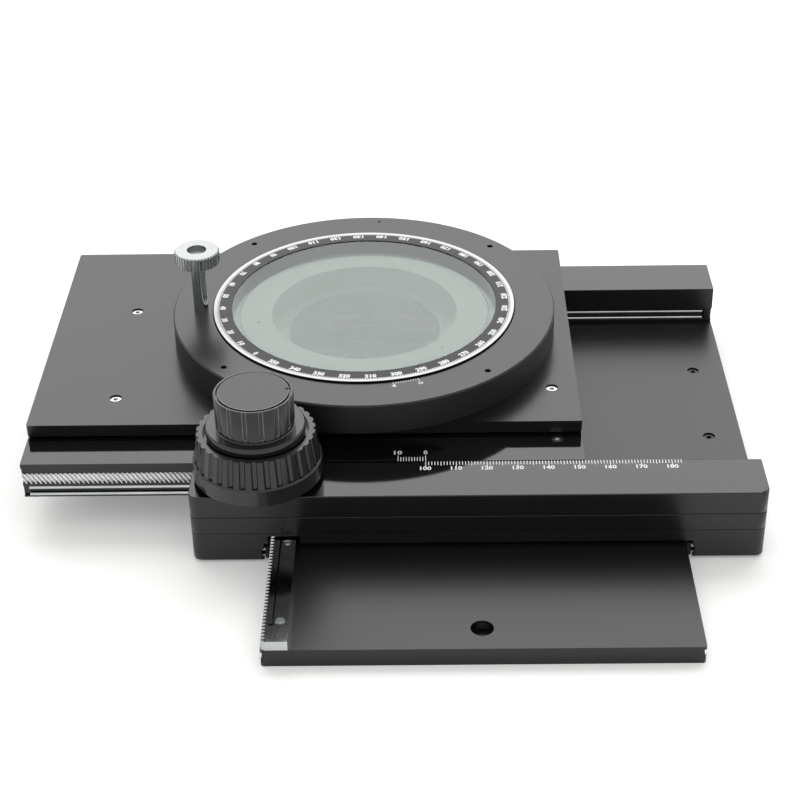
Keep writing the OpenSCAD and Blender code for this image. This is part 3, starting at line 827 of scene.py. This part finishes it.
@dataclass
class Carriage(SubAssembly):
    """The upper carriage: slide plate, top plate and the housing of the rotating table."""

    slide_top: float = 25.3
    zero_x: float = -16.68
    step: float = 0.902
    edge_y: float = -4.05
    long: float = 3.2
    short: float = 2.3
    line: float = 0.26
    proud: float = 0.02
    label_y: float = 0.9
    steps: int = 10
    digit: Pair = (2.2, 1.35)
    housing_top: float = 41.2
    index_angle: float = -78.5
    index_step: float = 0.9
    index_r: float = 54.3
    index_line: float = 0.24
    index_long: float = 2.2
    index_short: float = 1.0
    index_arrow_r: float = 1.0
    index_digit: Pair = (1.2, 0.8)
    index_label: float = 3.1
    ledge: Pair = (27.2, 32.9)
    ledge_proud: float = 0.05

    finishes: ClassVar[dict[str, Finish]] = {
        "slide_plate": GLOSS_BLACK,
        "x_rack": RACK_STEEL,
        "x_rack_screws": DARK_STEEL,
        "front_guide_strip": PLATE_BLACK,
        "rear_guide_strip": PLATE_BLACK,
        "slide_guide_rods": ROD_STEEL,
        "slide_screws": SCREW_STEEL,
        "x_stop_dogs": DARK_STEEL,
        "top_plate": PLATE_BLACK,
        "top_plate_screws": SCREW_STEEL,
        "table_seat": SEAT_GREY,
        "table_slide_ring": NYLON,
        "ring_housing": RING_BLACK,
        "ring_screws": DARK_STEEL,
    }

    def polar(self, radius: float, angle: float, z: float) -> Matrix:
        """A place on the table with X along the rim and Y towards the centre.

        Args:
            radius: Distance from the table's centre.
            angle: Degrees from +X.
            z: Height.

        Returns:
            The place as a matrix.
        """
        return (
            Matrix.Translation((*TABLE_CENTRE, z))
            @ Matrix.Rotation(math.radians(angle + 90), 4, "Z")
            @ Matrix.Translation((0, -radius, 0))
        )

    def build(self) -> None:
        """Adds the X vernier, the table's index and the machined face inside its seat."""
        mesh = bmesh.new()
        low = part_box("top_plate")[1][2] / MM
        flat_ring(mesh, self.ledge, (low, low + self.ledge_proud), TABLE_CENTRE, LEDGE_STEPS)
        piece("seat_ledge", mesh, MACHINED, "carriage")
        mesh = bmesh.new()
        for i in range(self.steps + 1):
            length = self.long if i % self.steps == 0 else self.short
            bar(
                mesh,
                (self.line, length, 2 * self.proud),
                Matrix.Translation(
                    (self.zero_x - i * self.step, self.edge_y + length / 2, self.slide_top)
                ),
            )
        digits = Numerals(*self.digit, depth=2 * self.proud)
        for i in (0, self.steps):
            digits.stamp(
                mesh,
                str(i),
                Matrix.Translation((self.zero_x - i * self.step, self.label_y, self.slide_top)),
            )
        piece("x_vernier", mesh, MARKS, "carriage")
        mesh = bmesh.new()
        for i in range(self.steps + 1):
            length = self.index_long if i % self.steps == 0 else self.index_short
            angle = self.index_angle + i * self.index_step
            bar(
                mesh,
                (self.index_line, length, 2 * self.proud),
                self.polar(self.index_r, angle, self.housing_top)
                @ Matrix.Translation((0, -length / 2, 0)),
            )
        arrow = self.polar(self.index_r + self.index_long, self.index_angle, self.housing_top)
        turn = Matrix.Rotation(math.pi / 2, 4, "Z")
        prism(mesh, self.index_arrow_r, 2 * self.proud, arrow @ turn, sides=3)
        last = self.index_angle + self.steps * self.index_step
        Numerals(*self.index_digit, depth=2 * self.proud).stamp(
            mesh,
            str(self.steps),
            self.polar(self.index_r + self.index_label, last, self.housing_top),
        )
        piece("angle_vernier", mesh, MARKS, "carriage")


@dataclass
class RotatingTable(SubAssembly):
    """The turning ring with its degree scale, and the glass."""

    zero_angle: float = -136.2
    band: Pair = (52.15, 53.44)
    overlap: float = 0.1
    tick_inner: float = 51.5
    ten_inner: float = 51.4
    line: float = 0.52
    number_r: float = 50.15
    digit: Pair = (2.2, 1.3)
    digit_weight: float = 0.05
    glass_gap: float = 0.05
    proud: float = 0.02

    finishes: ClassVar[dict[str, Finish]] = {
        "scale_ring": SCALE_BLACK,
        "glass_disc": GLASS,
    }

    def build(self) -> None:
        """Adds the white degree band with its ticks and numbers."""
        lift(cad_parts["glass_disc"], self.glass_gap)
        mesh = bmesh.new()
        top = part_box("scale_ring")[1][2] / MM
        heights = (top - self.proud, top + self.proud)
        flat_ring(mesh, self.band, heights, TABLE_CENTRE, BAND_STEPS)
        stop = self.band[0] + self.overlap
        centre = Matrix.Translation((*TABLE_CENTRE, top))
        for degree in range(360):
            start = self.ten_inner if degree % 10 == 0 else self.tick_inner
            place = centre @ Matrix.Rotation(math.radians(self.zero_angle - degree), 4, "Z")
            bar(
                mesh,
                (stop - start, self.line, 2 * self.proud),
                place @ Matrix.Translation(((stop + start) / 2, 0, 0)),
            )
        digits = Numerals(*self.digit, depth=2 * self.proud, weight=self.digit_weight)
        for degree in range(0, 360, 10):
            angle = math.radians(self.zero_angle - degree + 90)
            digits.stamp(
                mesh,
                str(degree),
                centre
                @ Matrix.Rotation(angle, 4, "Z")
                @ Matrix.Translation((0, -self.number_r, 0)),
            )
        piece("degree_scale", mesh, MARKS, "rotating_table")


@dataclass
class ClampScrew(SubAssembly):
    """The knurled screw that locks the rotating table."""

    finishes: ClassVar[dict[str, Finish]] = {
        "clamp_head": TURNED_ALUMINIUM,
        "clamp_stem": CHROME,
        "clamp_pad": CAGE_BRASS,
    }


@dataclass
class KnobPair(SubAssembly):
    """The two coaxial knobs with their shafts and pinions."""

    finishes: ClassVar[dict[str, Finish]] = {
        "big_knob": KNOB_BLACK,
        "big_knob_grub": DARK_STEEL,
        "x_knob_tube": ROD_STEEL,
        "x_pinion": ROD_STEEL,
        "drag_washer": NYLON,
        "small_knob": KNOB_BLACK,
        "small_knob_cap": CAP_BLACK,
        "small_knob_grub": DARK_STEEL,
        "y_knob_shaft": ROD_STEEL,
        "y_pinion": ROD_STEEL,
    }
    # Edges of the small knob and its cap that get the bright bare metal, which is in part a painted
    # highlight.
    burnished: ClassVar[dict[str, float]] = {
        "small_knob": 0.06,
        "small_knob_cap": 0.12,
    }
    dot_r: float = 0.65
    dot_depth: float = 0.04
    dot_place: Pair = (10.6, 1.2)

    def build(self) -> None:
        """Adds the dark setting mark on the rim of the small knob's cap."""
        mesh = bmesh.new()
        centre = Vector(KNOB_CENTRE) + Vector(self.dot_place)
        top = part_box("small_knob_cap")[1][2] / MM
        place = Matrix.Translation((*centre, top))
        prism(mesh, self.dot_r, self.dot_depth, place, sides=DISC_STEPS)
        piece("cap_mark", mesh, MATT_BLACK, "y_drive")


# ---- Studio ----


@dataclass(frozen=True)
class ViewingAngle:
    """Where the photograph was taken from, in millimetres and degrees."""

    place: Point = (-17.0, -497.38, 364.80)
    pitch: float = 32.62
    yaw: float = -0.86
    roll: float = -1.01
    lens: float = 82.5
    shift_x: float = -0.0011

    def make(self) -> None:
        """Adds the camera."""
        pitch, yaw, roll = (math.radians(angle) for angle in (self.pitch, self.yaw, self.roll))
        ahead = Vector(
            (math.sin(yaw) * math.cos(pitch), math.cos(yaw) * math.cos(pitch), -math.sin(pitch))
        )
        level = Vector((math.cos(yaw), -math.sin(yaw), 0))
        upward = level.cross(ahead)
        right = level * math.cos(roll) + upward * math.sin(roll)
        top = upward * math.cos(roll) - level * math.sin(roll)
        data = bpy.data.cameras.new("camera")
        data.lens = self.lens
        data.shift_x = self.shift_x
        camera = bpy.data.objects.new("camera", data)
        turn = Matrix((right, top, -ahead)).transposed().to_4x4()
        camera.matrix_world = Matrix.Translation(Vector(self.place) * MM) @ turn
        bpy.context.scene.collection.objects.link(camera)
        bpy.context.scene.camera = camera


@dataclass(frozen=True)
class SoftBox:
    """A large soft lamp aimed at the object, feathered towards its lower edge.

    Its radiance is given where 1 is white: first at the lower edge, then above feather,
    a share of its height.
    """

    name: str
    place: Point
    size: Pair
    radiance: Pair
    feather: float

    def make(self, target: Point) -> None:
        """Adds the lamp.

        Args:
            target: The point it faces, in metres as its own place.
        """
        data = bpy.data.lights.new(self.name, "AREA")
        data.shape = "RECTANGLE"
        data.size, data.size_y = self.size
        data.energy = math.pi * self.size[0] * self.size[1]
        data.use_nodes = True
        tree = data.node_tree
        tree.nodes.clear()
        spot = add(tree, "ShaderNodeNewGeometry").outputs["Parametric"]
        height = add(tree, "ShaderNodeSeparateXYZ", {0: spot}).outputs["Y"]
        strength = ramp(tree, height, (0.0, self.feather), self.radiance)
        glow = add(tree, "ShaderNodeEmission", {"Strength": strength})
        add(tree, "ShaderNodeOutputLight", {"Surface": glow.outputs[0]})
        lamp = bpy.data.objects.new(self.name, data)
        lamp.visible_camera = False
        ray = Vector(target) - Vector(self.place)
        lamp.matrix_world = (
            Matrix.Translation(self.place) @ ray.to_track_quat("-Z", "Y").to_matrix().to_4x4()
        )
        bpy.context.scene.collection.objects.link(lamp)


@dataclass(frozen=True)
class Studio:
    """White floor and surroundings, with a soft wall of light behind and above the object."""

    floor_size: float = 6.0
    floor_drop: float = 0.05
    surround: float = 0.75
    floor_lift: float = 0.2
    target: Point = (-0.02, 0.03, 0.02)
    lamp: SoftBox = SoftBox(
        name="rear wall of light",
        place=(-0.02, 1.072, 1.099),
        size=(2.4, 1.463),
        radiance=(1.0, 2.05),
        feather=0.36,
    )

    def make(self) -> None:
        """Adds the floor, the surroundings, the lamp and the camera."""
        mesh = bmesh.new()
        bmesh.ops.create_grid(mesh, x_segments=1, y_segments=1, size=self.floor_size / 2)
        bmesh.ops.translate(mesh, vec=(0, 0, -self.floor_drop * MM), verts=mesh.verts)
        data = bpy.data.meshes.new("floor")
        mesh.to_mesh(data)
        mesh.free()
        data.materials.append(self.paper())
        floor = bpy.data.objects.new("floor", data)
        bpy.context.scene.collection.objects.link(floor)
        self.surroundings()
        self.lamp.make(self.target)
        ViewingAngle().make()

    def paper(self) -> bpy.types.Material:
        """The white paper: it keeps shadows, and is lifted to white where it is seen."""
        material, tree = new_tree("white paper floor")
        sheet = add(tree, "ShaderNodeBsdfDiffuse", {"Color": linear("#f6f6f4")})
        lift = add(
            tree,
            "ShaderNodeMath",
            {0: self.shown(tree), 1: self.floor_lift},
            operation="MULTIPLY",
        ).outputs[0]
        glow = add(tree, "ShaderNodeEmission", {"Strength": lift})
        both = add(tree, "ShaderNodeAddShader", {0: sheet.outputs[0], 1: glow.outputs[0]})
        finish_surface(tree, both)
        return material

    @staticmethod
    def shown(tree: bpy.types.NodeTree) -> bpy.types.NodeSocket:
        """1 for camera, glossy and transmission rays and 0 for the others."""
        rays = add(tree, "ShaderNodeLightPath").outputs
        direct = add(
            tree,
            "ShaderNodeMath",
            {0: rays["Is Camera Ray"], 1: rays["Is Glossy Ray"]},
            operation="MAXIMUM",
        ).outputs[0]
        return add(
            tree,
            "ShaderNodeMath",
            {0: direct, 1: rays["Is Transmission Ray"]},
            operation="MAXIMUM",
        ).outputs[0]

    def surroundings(self) -> None:
        """Makes the world white where it is seen or mirrored and softer as a light."""
        world = bpy.data.worlds.new("white surroundings")
        world.use_nodes = True
        tree = world.node_tree
        tree.nodes.clear()
        strength = ramp(tree, self.shown(tree), target=(self.surround, 1.0))
        sky = add(tree, "ShaderNodeBackground", {"Color": (1, 1, 1, 1), "Strength": strength})
        add(tree, "ShaderNodeOutputWorld", {"Surface": sky.outputs[0]})
        bpy.context.scene.world = world
        bpy.context.scene.view_settings.view_transform = "Standard"


def main() -> None:
    """Builds the scene."""
    logging.basicConfig(level=logging.INFO, format="%(name)s: %(message)s")
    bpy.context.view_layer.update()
    Studio().make()
    for group in (
        BasePlate(),
        BallGuides(),
        StageFrame(),
        Carriage(),
        RotatingTable(),
        ClampScrew(),
        KnobPair(),
    ):
        group.dress()
        group.build()


if __name__ == "__main__":
    main()
